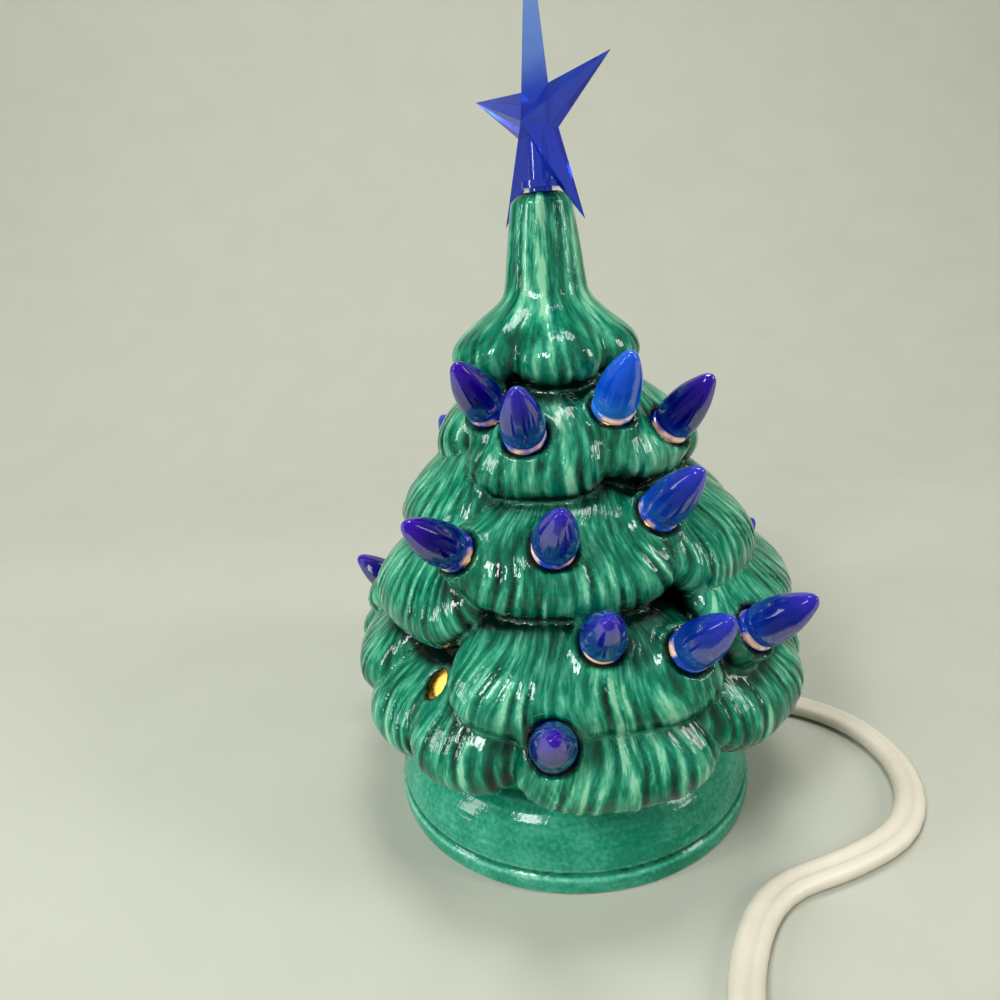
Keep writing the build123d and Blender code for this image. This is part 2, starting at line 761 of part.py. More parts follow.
blade_plane = plug_plane.offset(plug_neck_length + plug_length)
with BuildPart() as plug_blades:
    with BuildSketch(blade_plane):
        with GridLocations(blade_spacing, 0, 2, 1):
            Rectangle(blade_thickness, blade_width)
    extrude(amount=blade_length)
    tips = plug_blades.edges().group_by(Axis.X)[-1].filter_by(Axis.Z)
    chamfer(tips, length=blade_tip_chamfer)
    hole_row = Plane(
        origin=blade_plane.origin + rightward * (blade_length - blade_hole_inset), z_dir=(0, 1, 0)
    )
    add(upright(hole_row, blade_hole_radius, -blade_spacing, blade_spacing), mode=Mode.SUBTRACT)
plug_blades.part.label = "plug_blades"
export_step(plug_blades.part, "parts/plug_blades.step")

# Tie round the turns of the coil
tie_out = Vector(cos(radians(tie_angle)), sin(radians(tie_angle)), 0)
tie_turn = coil_turns - coil_climb_turns + tie_angle / 360
tie_height = coil_point(tie_turn).Z - coil_height + cord_diameter + 2 * tie_clearance
tie_span = 2 * coil_swing + cord_diameter + 2 * tie_clearance
tie_centre = Vector(coil_centre[0], winding_y, 0) + tie_out * coil_radius
tie_centre.Z = coil_height - cord_radius - tie_clearance + tie_height / 2
tie_plane = Plane(origin=tie_centre, x_dir=tie_out, z_dir=tie_out.cross(Vector(0, 0, 1)))
with BuildPart() as cord_tie:
    with BuildSketch(tie_plane):
        RectangleRounded(
            tie_span + 2 * tie_thickness, tie_height + 2 * tie_thickness, tie_corner + tie_thickness
        )
        RectangleRounded(tie_span, tie_height, tie_corner, mode=Mode.SUBTRACT)
    extrude(amount=tie_width / 2, both=True)
cord_tie.part.label = "cord_tie"
export_step(cord_tie.part, "parts/cord_tie.step")
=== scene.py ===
"""The looks of a small glazed ceramic Christmas tree lamp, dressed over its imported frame.

Lengths of the forms are in millimetres and are brought to metres when a mesh is made.
Azimuths are degrees about the trunk, 0 at the front (-Y) and 90 at the right (+X).
"""

import json
from math import acos, cos, hypot, pi, radians, sin

import bpy
import numpy as np
import openvdb
from mathutils import Matrix, Vector


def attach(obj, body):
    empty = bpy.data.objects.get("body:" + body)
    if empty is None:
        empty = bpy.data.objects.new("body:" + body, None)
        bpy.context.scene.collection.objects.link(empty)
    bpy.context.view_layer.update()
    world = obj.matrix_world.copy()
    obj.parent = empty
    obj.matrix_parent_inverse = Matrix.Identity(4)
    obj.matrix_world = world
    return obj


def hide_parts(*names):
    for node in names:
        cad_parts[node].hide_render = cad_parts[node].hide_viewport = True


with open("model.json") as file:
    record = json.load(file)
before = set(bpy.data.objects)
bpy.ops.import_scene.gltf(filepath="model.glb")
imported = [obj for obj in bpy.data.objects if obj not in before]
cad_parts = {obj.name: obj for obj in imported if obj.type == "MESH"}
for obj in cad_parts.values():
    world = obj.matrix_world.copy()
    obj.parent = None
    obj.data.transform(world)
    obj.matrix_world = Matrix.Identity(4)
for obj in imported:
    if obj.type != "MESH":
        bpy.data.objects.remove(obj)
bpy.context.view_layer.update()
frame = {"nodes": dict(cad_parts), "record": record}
MM = 0.001
scene = bpy.context.scene
record = frame["record"]
nodes = frame["nodes"]
axes = {joint["child"]: Vector(joint["axis"]) for joint in record["behaviour"]["joints"]}
bulb_names = sorted(name for name in nodes if name.startswith("bulb_"))

# Camera, fitted to the photograph
CAMERA_PLACE = (-9.5, -117.1, 90.7)
CAMERA_PITCH = 18.3  # degrees below level
CAMERA_ROLL = 4.6
CAMERA_LENS = 27.0
CAMERA_SENSOR = 36.0
CAMERA_NEAR = 0.005  # metres

# Tree: sizes near the CAD model's, with tapered boughs that reach less far at the left
BASE_HEIGHT = 12.0
TREE_HEIGHT = 86.6
TREE_RADIUS = 39.0
CORE_LINE = (
    (25.0, 12.0), (28.0, 20.0), (28.5, 26.0), (22.0, 44.0), (15.0, 60.0), (7.6, 74.0), (6.1, 86.0),
    (4.5, 97.0), (3.3, 98.6),
)
CORE_SLOPE = 0.93  # from a distance across to one square to the core's usual slope
CAVITY_LINE = ((21.8, 12.0), (24.0, 20.0), (24.0, 26.0), (4.4, 74.0), (2.3, 82.6), (2.0, 98.6))
CROWN_BOUGH = (6.8, 4.9, 42.0)  # half length, half thickness and slope
BOUGH = (10.5, 6.2, 48.0)
BOUGH_OVERLAP = 0.97
BOUGH_FULLNESS = 2.4  # 2 is an ellipsoid; more is fuller at the ends
BOUGH_TAPERS = (0.30, 0.45)  # how much narrower and thinner a bough is at its upper end
CROWN_SHARES = [
    (2, 0.686, 0.374, 58), (62, 0.690, 0.350, 58), (122, 0.684, 0.374, 56), (182, 0.688, 0.374, 56),
    (242, 0.684, 0.380, 56), (302, 0.692, 0.400, 56),
]
BOUGH_SHARES = [
    (-14, 0.512, 0.538, 66), (43, 0.519, 0.538, 56), (100, 0.502, 0.577, 58),
    (158, 0.514, 0.551, 58), (216, 0.508, 0.551, 58), (274, 0.531, 0.470, 58),
    (-3, 0.351, 0.731, 72), (56, 0.339, 0.782, 58), (112, 0.358, 0.731, 58),
    (170, 0.346, 0.731, 58), (232, 0.358, 0.731, 56), (296, 0.415, 0.640, 60),
    (0, 0.184, 0.897, 72), (62, 0.236, 0.923, 61), (118, 0.190, 0.897, 58),
    (178, 0.196, 0.897, 60), (240, 0.184, 0.897, 56), (300, 0.277, 0.785, 60),
    (6, 0.078, 0.987, 50), (-31, 0.090, 0.974, 32), (-57, 0.078, 0.915, 36),
    (47, 0.113, 1.000, 46), (92, 0.095, 0.987, 50), (140, 0.084, 0.987, 50),
    (190, 0.090, 0.987, 50), (238, 0.095, 0.987, 48), (277, 0.124, 0.900, 40),
]
CROWN_FOOT = 70.0  # the height above which needles run straight down from the tip
CROWN_BLEND = 4.5  # how softly the crown's boughs grow out of the tip
LOBE_BLEND = 0.8  # and how softly they meet each other
BOUGH_BLEND = 0.35
NEEDLE_SPACING = 1.6
NEEDLE_DEPTH = 0.42
CROWN_NEEDLES = 0.6  # the depth of the crown's needles against the others'
NEEDLE_FAN = 2.3  # how many half lengths above a bough its needles meet
TIP_FLUTES = 17
TIP_FLUTE_DEPTH = 0.16
TIP_FLUTE_RISE = (68.0, 8.0)  # the height where they start, and how far they deepen
FOOT_ROUND = 1.6
HOLLOW_ROUND = 0.8
SEAM_HEIGHT = 0.22
SEAM_WIDTH = 0.45
SEAM_AZIMUTHS = (9.3, -8.2)  # at the foot and at the tip
PEG_LENGTH = 7.5
POCKET_RADIUS = 3.4
MOUND_RADIUS = 3.95  # the glaze that a bulb's collar sits on
MOUND_DEPTH = 7.0
MOUND_BLEND = 1.8
HOLE_RADIUS = 2.3
HOLE_DEPTH = 20.0
CLEAR_WAY = 25.0  # how far out a seat or the empty hole is kept open
SEAT_GAP = 0.3
EMPTY_SEAT = (-21.4, -22.9, 32.9)
EMPTY_AXIS = (-0.4959, -0.6124, 0.6157)
LOOKOUT = 3.2  # how far a point looks out for other boughs, and twice that
BARE_DEPTH = 2.0  # how deep below the glazed face the clay is bare
LAMPLIGHT = 0.9  # painted lamplight: how strongly the bare clay of the hollow glows, as if lit by the lamp
VOXEL = 0.5
BAND = 3.0  # how far from a surface the grid holds distances

# Base, as in the CAD model: half section from the foot's inside, round the outside and back
BASE_LINE = (
    (27.6, 0.0), (31.0, 0.0), (31.0, 3.0), (30.1, 3.0), (30.1, 3.7), (30.6, 3.7), (30.55, 5.0),
    (30.25, 6.4), (29.65, 8.0), (28.75, 9.6), (27.55, 11.0), (26.0, 12.0), (21.4, 12.0), (21.4, 15.0),
    (18.2, 15.0), (18.2, 12.0), (12.6, 12.0), (12.6, 8.5), (22.6, 8.5), (27.6, 3.0),
)
BASE_STEP = (0.5, 0.5, 0.25)
GLAZE_SOFTNESS = 0.35  # how far the glaze rounds an edge or fills a groove
NOTCH_AZIMUTH = 112.0
NOTCH_RADIUS = 2.7
NOTCH_HEIGHT = 5.4
NOTCH_START = 21.4  # from the middle
UNGLAZED = (26.5, 9.5)  # the radius and height of the bare hollow under the base
FOOT_BARE = 0.15

# Push-in bulb: half section from the end of its peg to its tip, and its flutes
BULB_FOOT = (
    (0.0, -7.5), (1.3, -7.5), (1.62, -7.2), (2.0, -0.1), (2.85, 0.0), (3.0, 0.15), (3.0, 0.65), (2.85, 0.8),
)
BULB_FLAME = (
    (2.35, 0.85), (2.9, 1.25), (3.12, 3.3), (2.5, 6.8), (1.25, 9.8), (0.45, 10.7), (0.0, 10.85),
)
BULB_LENGTH = 10.85
BULB_FLUTES = 12
BULB_FLUTE_DEPTH = 0.05
BULB_SEGMENTS = 48
FLAME_STEPS = 5
PALE_BULBS = ("bulb_03",)

# Star, in metres: the height of its middle and the length of its upper ray
STAR_CENTRE = 0.1077
STAR_RAY = 0.0265

# Cord: the route of the CAD model, flat on the floor, then up on edge in its coil
CORD_WIDTH = 4.6
CORD_STRAND = 1.3  # radius of each of the two strands
CORD_ROUTE = [
    (8.2, 3.3, 3.75), (19.5, 7.9, 3.2), (31.5, 12.7, 2.0), (44.8, 10.8, 1.45), (54.2, 1.0, 1.45),
    (56.0, -12.6, 1.45), (49.6, -24.6, 1.45), (37.5, -30.5, 1.45), (25.0, -33.6, 1.45), (17.2, -44.4, 1.45),
    (13.4, -57.6, 1.7), (9.7, -71.4, 2.6), (7.8, -85.0, 3.5), (7.8, -98.0, 3.5),
]
CORD_TAIL = [(8.2, -108.5, 25.0), (12.6, -115.8, 26.8), (19.2, -117.6, 27.45), (27.4, -117.6, 27.45)]
COIL_CENTRE = (38.0, -102.6, 3.5)
COIL_RADIUS = 25.0
COIL_PITCH = 5.2
COIL_LAYERS = 4
COIL_LAYER_TURNS = 2.5
COIL_CLIMB_TURNS = 0.5
COIL_STEPS = 24  # points to a turn
PLUG_TURN = (6.0, 26.0)  # back from its end, where it is flat again, and how far that takes
CORD_TURN = (110.0, 160.0)  # along the cord, where it turns from flat to on edge


def outward(azimuth):
    return np.array([sin(radians(azimuth)), -cos(radians(azimuth)), 0.0])


def sideways(azimuth):
    return np.array([cos(radians(azimuth)), sin(radians(azimuth)), 0.0])


def smooth_min(one, other, reach):
    """The nearer of two distances, with a fillet where they meet."""
    near = np.maximum(reach - np.abs(one - other), 0) / reach
    return np.minimum(one, other) - near * near * reach / 4


def smooth_max(one, other, reach):
    return -smooth_min(-one, -other, reach)


class Grid:
    """A block of points in millimetres that holds distances to a form."""

    def __init__(self, low, high, step):
        self.low = np.array(low, dtype=float)
        self.step = np.ones(3) * step
        count = np.ceil((np.array(high) - self.low) / self.step).astype(int) + 1
        self.lines = [self.low[i] + self.step[i] * np.arange(count[i]) for i in range(3)]
        self.shape = tuple(count)

    def points(self, part=None):
        lines = self.lines if part is None else [line[cut] for line, cut in zip(self.lines, part)]
        return np.meshgrid(*lines, indexing="ij", sparse=True)

    def around(self, centre, reach):
        """The slices of the block within a reach of a point."""
        cuts = []
        for i in range(3):
            first = int((centre[i] - reach[i] - self.low[i]) / self.step[i])
            last = int((centre[i] + reach[i] - self.low[i]) / self.step[i]) + 2
            cuts.append(slice(max(first, 0), min(max(last, 0), self.shape[i])))
        return tuple(cuts)

    def mesh(self, distance):
        """The points, in millimetres, and quads of the surface at distance zero."""
        limit = BAND * self.step.max()
        grid = openvdb.FloatGrid(limit)
        grid.copyFromArray(np.clip(distance, -limit, limit).astype(np.float32))
        points, quads = grid.convertToQuads(0.0)
        return self.low + points * self.step, quads

    def sample(self, values, points):
        """Values at any points, straight between those of the block."""
        place = (points - self.low) / self.step
        first = np.clip(place.astype(int), 0, np.array(self.shape) - 2)
        share = place - first
        result = np.zeros(len(points))
        for corner in range(8):
            bits = np.array([corner >> 2 & 1, corner >> 1 & 1, corner & 1])
            weight = np.prod(np.where(bits, share, 1 - share), axis=1)
            at = first + bits
            result += weight * values[at[:, 0], at[:, 1], at[:, 2]]
        return result


def line_radius(line, height):
    """The radius of a half section, given from the foot up, at any height."""
    return np.interp(height, [point[1] for point in line], [point[0] for point in line])


def turned(line, radius, height):
    """The distance to a turned form, near enough for its gentle slopes."""
    return (radius - line_radius(line, height)) * CORE_SLOPE


def rods(grid, distance, starts, ways, radius, low, high, blend, cut=True):
    """Cuts round rods out of a form, or adds them, each from low to high along its way."""
    for start, way in zip(starts, ways):
        middle = start + way * (low + high) / 2
        reach = np.abs(way) * (high - low) / 2 + radius + BAND
        part = grid.around(middle, reach)
        x, y, z = grid.points(part)
        along = (x - start[0]) * way[0] + (y - start[1]) * way[1] + (z - start[2]) * way[2]
        square = (x - start[0]) ** 2 + (y - start[1]) ** 2 + (z - start[2]) ** 2
        across = np.sqrt(np.maximum(square - along * along, 0)) - radius
        rod = np.maximum(across, np.maximum(low - along, along - high))
        if cut:
            distance[part] = smooth_max(distance[part], -rod, blend)
        else:
            distance[part] = smooth_min(distance[part], rod, blend)


def bough_frame(shares, size):
    """A bough's middle, its ways across, down its slope and out of its face, and half sizes."""
    azimuth, lip_share, reach_share, span = shares
    length, thickness, slope = size
    down = radians(slope)
    reach = reach_share * TREE_RADIUS
    width = reach * radians(span) / 2 * BOUGH_OVERLAP
    radial = reach - hypot(length * cos(down), thickness * sin(down))
    height = BASE_HEIGHT + lip_share * TREE_HEIGHT + hypot(length * sin(down), thickness * cos(down))
    out, side, up = outward(azimuth), sideways(azimuth), np.array([0.0, 0.0, 1.0])
    ways = side, out * cos(down) - up * sin(down), out * sin(down) + up * cos(down)
    return out * radial + up * height, ways, (width, length, thickness)


bough_frames = [bough_frame(shares, CROWN_BOUGH) for shares in CROWN_SHARES]
bough_frames += [bough_frame(shares, BOUGH) for shares in BOUGH_SHARES]


def bough_shape(number, x, y, z):
    """Distances to a bough without and with needles, and places across and along its needles."""
    centre, ways, (width, length, thickness) = bough_frames[number]
    x, y, z = x - centre[0], y - centre[1], z - centre[2]
    across, along, above = (x * way[0] + y * way[1] + z * way[2] for way in ways)
    upper = np.clip(0.5 - 0.5 * along / length, 0, 1)
    widths, depths = width * (1 - BOUGH_TAPERS[0] * upper), thickness * (1 - BOUGH_TAPERS[1] * upper)
    shares = [np.abs(across) / widths, np.abs(along) / length, np.abs(above) / depths]
    ball = sum(share**BOUGH_FULLNESS for share in shares) ** (1 / BOUGH_FULLNESS)
    slopes = [share ** (BOUGH_FULLNESS - 1) / half for share, half in zip(shares, (width, length, thickness))]
    steep = np.sqrt(sum(slope * slope for slope in slopes)) / np.maximum(ball, 0.05) ** (BOUGH_FULLNESS - 1)
    plain = (ball - 1) / np.maximum(steep, 0.02)
    fan = NEEDLE_FAN * length
    wander = 0.6 * np.sin(0.4 * along + 1.7 * number) + 0.5 * np.sin(0.55 * across + 2.3 * number)
    phase = (across + wander) * fan / (np.maximum(along + fan, 2.0) * NEEDLE_SPACING)
    line = np.round(phase)
    vary = 0.45 + 0.35 * np.sin(2.4 * line + number) + 0.4 * np.sin(5.3 * line + 0.5 * along)
    valley = (0.5 + 0.5 * np.cos(2 * pi * phase)) ** 2
    lip = np.clip((along / length + 0.55) / 1.2, 0, 1)
    fade = 0.10 + 0.90 * lip * lip * (3 - 2 * lip)
    depth = NEEDLE_DEPTH * (CROWN_NEEDLES if number < len(CROWN_SHARES) else 1.0)
    needled = plain + depth * vary * fade * (valley - 0.25)
    return plain, needled, phase, along


def strokes(points):
    """Places across and along the needles at points of the surface, and the number of their bough."""
    x, y, z = points.T
    nearest = np.where(z > CROWN_FOOT, 0.0, turned(CORE_LINE, np.hypot(x, y), z))
    result = np.stack([np.arctan2(x, -y) * 4.0, z, np.full(len(x), -1.0)], axis=1)
    for number in range(len(CROWN_SHARES), len(bough_frames)):
        plain, _, phase, along = bough_shape(number, x, y, z)
        nearer = plain < nearest
        nearest = np.where(nearer, plain, nearest)
        result[nearer] = np.stack([phase, along, np.full(len(x), float(number))], axis=1)[nearer]
    return result


def tree_forms():
    """The tree's block of points and its distances, without and with needles, seam and holes."""
    reach = TREE_RADIUS + BAND
    low, high = BASE_HEIGHT - BAND, BASE_HEIGHT + TREE_HEIGHT + BAND
    grid = Grid((-reach, -reach, low), (reach, reach, high), VOXEL)
    x, y, z = grid.points()
    radius = np.hypot(x, y)
    azimuth = np.arctan2(x, -y)
    core = turned(CORE_LINE, radius, z)
    flute = np.clip((z - TIP_FLUTE_RISE[0]) / TIP_FLUTE_RISE[1], 0, 1) * TIP_FLUTE_DEPTH
    wander = 0.6 * np.sin(z / 6) + 0.4 * np.sin(z / 2.7 + 2 * azimuth)
    plain = core.copy()
    needled = core + flute * (np.cos(TIP_FLUTES * azimuth + wander) * 0.5 + 0.3 * np.sin(5 * azimuth))
    forms = [[np.full(grid.shape, 2 * BAND) for _ in range(2)], [plain, needled]]
    for number, (centre, ways, halves) in enumerate(bough_frames):
        crown = number < len(CROWN_SHARES)
        if number == len(CROWN_SHARES):
            plain[:] = smooth_min(plain, forms[0][0], CROWN_BLEND)
            needled[:] = smooth_min(needled, forms[0][1], CROWN_BLEND)
        extent = np.sqrt(sum((way * half) ** 2 for way, half in zip(ways, halves)))
        part = grid.around(centre, extent + 2 * BAND)
        shapes = bough_shape(number, *grid.points(part))
        for form, shape in zip(forms[0 if crown else 1], shapes):
            form[part] = smooth_min(form[part], shape, LOBE_BLEND if crown else BOUGH_BLEND)
    rise = (z - BASE_HEIGHT) / TREE_HEIGHT
    turn = np.radians(SEAM_AZIMUTHS[0] + (SEAM_AZIMUTHS[1] - SEAM_AZIMUTHS[0]) * rise)
    off_seam = np.abs((azimuth - turn + pi / 2) % pi - pi / 2) * radius
    needled = needled - SEAM_HEIGHT * np.exp(-((off_seam / SEAM_WIDTH) ** 2))
    foot, top = BASE_HEIGHT - z, z - BASE_HEIGHT - TREE_HEIGHT
    needled = smooth_max(needled, np.maximum(foot, top), FOOT_ROUND)
    plain = np.maximum(plain, np.maximum(foot, top))
    needled = smooth_max(needled, -turned(CAVITY_LINE, radius, z), HOLLOW_ROUND)
    return grid, plain, needled


def node_points(node):
    """A CAD node's vertices in millimetres."""
    mesh = nodes[node].data
    points = np.empty(3 * len(mesh.vertices))
    mesh.vertices.foreach_get("co", points)
    matrix = np.array(nodes[node].matrix_world)
    return (points.reshape(-1, 3) @ matrix[:3, :3].T + matrix[:3, 3]) / MM


def bulb_foot(node):
    """The middle of a bulb's collar, from the end of its peg, and the bulb's axis."""
    axis = np.array(axes[node])
    points = node_points(node)
    along = points @ axis
    peg_end = points[along < along.min() + 0.05]
    centre = (peg_end.min(axis=0) + peg_end.max(axis=0)) / 2
    return centre + axis * PEG_LENGTH, axis


bulb_feet = {name: bulb_foot(name) for name in bulb_names}


def new_object(name, points, faces, material):
    """A mesh object from points in millimetres."""
    mesh = bpy.data.meshes.new(name)
    points = np.asarray(points, dtype=float) * MM
    faces = np.asarray(faces)
    corners = faces.shape[1]
    mesh.vertices.add(len(points))
    mesh.vertices.foreach_set("co", points.ravel())
    mesh.loops.add(faces.size)
    mesh.loops.foreach_set("vertex_index", faces.ravel().astype(np.int32))
    mesh.polygons.add(len(faces))
    mesh.polygons.foreach_set("loop_start", np.arange(len(faces), dtype=np.int32) * corners)
    mesh.update()
    mesh.validate()
    mesh.polygons.foreach_set("use_smooth", np.full(len(mesh.polygons), True))
    mesh.materials.append(material)
    piece = bpy.data.objects.new(name, mesh)
    scene.collection.objects.link(piece)
    return piece


def set_values(piece, name, values):
    """Keeps a number, or three, for each vertex, for a material to read."""
    values = np.asarray(values, dtype=np.float32)
    kind, field = ("FLOAT", "value") if values.ndim == 1 else ("FLOAT_VECTOR", "vector")
    attribute = piece.data.attributes.new(name, kind, "POINT")
    attribute.data.foreach_set(field, values.ravel())


# Materials


def new_material(name):
    material = bpy.data.materials.new(name)
    material.use_nodes = True
    tree = material.node_tree
    return material, tree, tree.nodes["Principled BSDF"]


def add_node(tree, kind, **values):
    """A shader node with its properties and unlinked inputs set."""
    node = tree.nodes.new("ShaderNode" + kind)
    for key, value in values.items():
        if hasattr(node, key):
            setattr(node, key, value)
        else:
            node.inputs[key.replace("_", " ")].default_value = value
    return node


def ramp(tree, source, stops):
    """A colour ramp over a number."""
    node = add_node(tree, "ValToRGB")
    elements = node.color_ramp.elements
    while len(elements) < len(stops):
        elements.new(0.5)
    for element, (place, colour) in zip(elements, stops):
        element.position = place
        element.color = (*colour, 1)
    tree.links.new(source, node.inputs["Fac"])
    return node.outputs["Color"]


def linear(red, green, blue):
    """A display colour, 0 to 255, as the shader takes it."""
    return tuple(
        value / 12.92 if value <= 0.04045 else ((value + 0.055) / 1.055) ** 2.4
        for value in (red / 255, green / 255, blue / 255)
    )


def mix_colour(tree, kind, share, one, other):
    node = add_node(tree, "Mix", data_type="RGBA", blend_type=kind)
    for socket, value in ((node.inputs[0], share), (node.inputs[6], one), (node.inputs[7], other)):
        if isinstance(value, bpy.types.NodeSocket):
            tree.links.new(value, socket)
        elif socket.type == "RGBA":
            socket.default_value = (*value, 1)
        else:
            socket.default_value = value
    return node.outputs[2]


def maths(tree, operation, one, other=0.0, clamp=False):
    node = add_node(tree, "Math", operation=operation, use_clamp=clamp)
    for socket, value in zip(node.inputs, (one, other)):
        if isinstance(value, bpy.types.NodeSocket):
            tree.links.new(value, socket)
        else:
            socket.default_value = value
    return node.outputs[0]


def noise(tree, scale, detail=3.0, roughness=0.55):
    """Noise in the object's own metres, from 0 to 1."""
    place = add_node(tree, "TexCoord")
    node = add_node(tree, "TexNoise", Scale=scale, Detail=detail, Roughness=roughness)
    tree.links.new(place.outputs["Object"], node.inputs["Vector"])
    return node.outputs["Fac"]


def stroke_noise(tree, scales):
    """Noise drawn out along the needles."""
    stroke = add_node(tree, "Attribute", attribute_name="stroke")
    scaled = add_node(tree, "VectorMath", operation="MULTIPLY")
    scaled.inputs[1].default_value = scales
    tree.links.new(stroke.outputs["Vector"], scaled.inputs[0])
    node = add_node(tree, "TexNoise", Scale=1.0, Detail=3.0, Roughness=0.6)
    tree.links.new(scaled.outputs["Vector"], node.inputs["Vector"])
    return node.outputs["Fac"]


def bump(tree, shader, height, distance, strength=1.0):
    node = add_node(tree, "Bump", Strength=strength, Distance=distance)
    tree.links.new(height, node.inputs["Height"])
    tree.links.new(node.outputs["Normal"], shader.inputs["Normal"])


def glaze_material():
    """Green glaze over pale clay: dark where it pools, pale where it thins on ridges, with painted shade in
    the crevices between boughs and a painted lamp glow on the bare clay inside.
    """
    material, tree, shader = new_material("green_glaze")
    groove = add_node(tree, "Attribute", attribute_name="groove").outputs["Fac"]
    pooling_and_shade = add_node(tree, "Attribute", attribute_name="pooling_and_shade").outputs["Fac"]
    inside = add_node(tree, "Attribute", attribute_name="inside").outputs["Fac"]
    patches = noise(tree, 120, 4)
    needles = stroke_noise(tree, (1.5, 0.16, 7.3))
    hairs = stroke_noise(tree, (3.6, 0.34, 5.1))
    thick = maths(tree, "ADD", groove, maths(tree, "MULTIPLY", maths(tree, "SUBTRACT", patches, 0.5), 0.7))
    thick = maths(tree, "ADD", thick, maths(tree, "MULTIPLY", maths(tree, "SUBTRACT", needles, 0.5), 1.3))
    thick = maths(tree, "ADD", thick, maths(tree, "MULTIPLY", maths(tree, "SUBTRACT", hairs, 0.5), 0.6))
    colour = ramp(tree, thick, (
        (0.0, linear(132, 196, 158)),
        (0.12, linear(70, 164, 128)),
        (0.34, linear(8, 117, 87)),
        (0.60, linear(0, 73, 52)),
        (1.0, linear(0, 30, 21)),
    ))
    # Painted shade, partly pooled glaze: near black in the crevices between boughs.
    colour = mix_colour(tree, "MIX", pooling_and_shade, colour, linear(1, 20, 14))
    clay = ramp(tree, patches, ((0.3, linear(205, 196, 176)), (0.7, linear(228, 222, 206))))
    colour = mix_colour(tree, "MIX", inside, colour, clay)
    tree.links.new(colour, shader.inputs["Base Color"])
    # Painted lamplight: the bare clay inside the hollow glows warm, as if lit by the lamp.
    lit = ramp(tree, patches, (
        (0.3, linear(250, 150, 30)),
        (0.6, linear(255, 196, 70)),
        (0.8, linear(255, 230, 150)),
    ))
    tree.links.new(lit, shader.inputs["Emission Color"])
    tree.links.new(maths(tree, "MULTIPLY", inside, LAMPLIGHT), shader.inputs["Emission Strength"])
    rough = maths(tree, "ADD", 0.07, maths(tree, "MULTIPLY", inside, 0.7))
    tree.links.new(rough, shader.inputs["Roughness"])
    shader.inputs["IOR"].default_value = 1.52
    shader.inputs["Specular IOR Level"].default_value = 0.3
    relief = maths(tree, "ADD", maths(tree, "MULTIPLY", needles, 0.7), maths(tree, "MULTIPLY", patches, 0.8))
    bump(tree, shader, relief, 0.0004, 0.5)
    return material


def base_material():
    """The base's thinner glaze, speckled and lighter."""
    material, tree, shader = new_material("base_glaze")
    groove = add_node(tree, "Attribute", attribute_name="groove").outputs["Fac"]
    inside = add_node(tree, "Attribute", attribute_name="inside").outputs["Fac"]
    patches = noise(tree, 90, 4)
    fine = noise(tree, 1500, 2)
    thick = maths(tree, "ADD", groove, maths(tree, "MULTIPLY", maths(tree, "SUBTRACT", patches, 0.5), 0.9))
    thick = maths(tree, "ADD", thick, maths(tree, "MULTIPLY", maths(tree, "SUBTRACT", fine, 0.5), 0.5))
    colour = ramp(tree, thick, (
        (0.0, linear(124, 198, 170)),
        (0.28, linear(62, 162, 132)),
        (0.5, linear(20, 128, 98)),
        (1.0, linear(1, 60, 44)),
    ))
    clay = ramp(tree, patches, ((0.3, linear(205, 196, 176)), (0.7, linear(228, 222, 206))))
    colour = mix_colour(tree, "MIX", inside, colour, clay)
    tree.links.new(colour, shader.inputs["Base Color"])
    rough = maths(tree, "ADD", 0.1, maths(tree, "MULTIPLY", inside, 0.65))
    tree.links.new(rough, shader.inputs["Roughness"])
    shader.inputs["Specular IOR Level"].default_value = 0.25
    bump(tree, shader, fine, 0.0001, 0.3)
    return material


def bulb_material():
    """Clear blue plastic, deep in the body and violet towards the tip, with a painted glow as if lit from
    inside and a painted ring of lamplight at the collar.
    """
    material, tree, shader = new_material("blue_bulb")
    along = add_node(tree, "Attribute", attribute_name="along").outputs["Fac"]
    pale = add_node(tree, "Attribute", attribute_name="pale").outputs["Fac"]
    streaks = noise(tree, 420, 3)
    place = maths(tree, "ADD", along, maths(tree, "MULTIPLY", maths(tree, "SUBTRACT", streaks, 0.5), 0.5))
    colour = ramp(tree, place, (
        (0.0, linear(8, 36, 160)),
        (0.20, linear(1, 14, 118)),
        (0.46, linear(1, 4, 84)),
        (0.70, linear(16, 2, 104)),
        (1.0, linear(46, 6, 142)),
    ))
    lighter = ramp(tree, place, (
        (0.0, linear(36, 116, 210)),
        (0.5, linear(1, 66, 176)),
        (1.0, linear(14, 80, 196)),
    ))
    colour = mix_colour(tree, "MIX", pale, colour, lighter)
    # Painted lamplight: a broken pale ring at the collar, warm in the glow, as if the lamp's light leaks
    # round it.
    ring = ramp(tree, along, ((0.07, (1, 1, 1)), (0.10, (0, 0, 0))))
    broken = ramp(tree, noise(tree, 260, 2), ((0.48, (0, 0, 0)), (0.60, (1, 1, 1))))
    collar = maths(tree, "MULTIPLY", ring, broken)
    ringed = mix_colour(tree, "MIX", collar, colour, linear(226, 206, 190))
    tree.links.new(ringed, shader.inputs["Base Color"])
    # Painted glow: each bulb shines faintly in its own colour, as if lit through its peg by the lamp inside.
    glow = mix_colour(tree, "MIX", collar, colour, linear(255, 190, 130))
    tree.links.new(glow, shader.inputs["Emission Color"])
    shader.inputs["Emission Strength"].default_value = 0.22
    shader.inputs["Roughness"].default_value = 0.07
    shader.inputs["IOR"].default_value = 1.49
    shader.inputs["Specular IOR Level"].default_value = 0.14
    shader.inputs["Transmission Weight"].default_value = 0.12
    bump(tree, shader, streaks, 0.0001, 0.4)
    return material


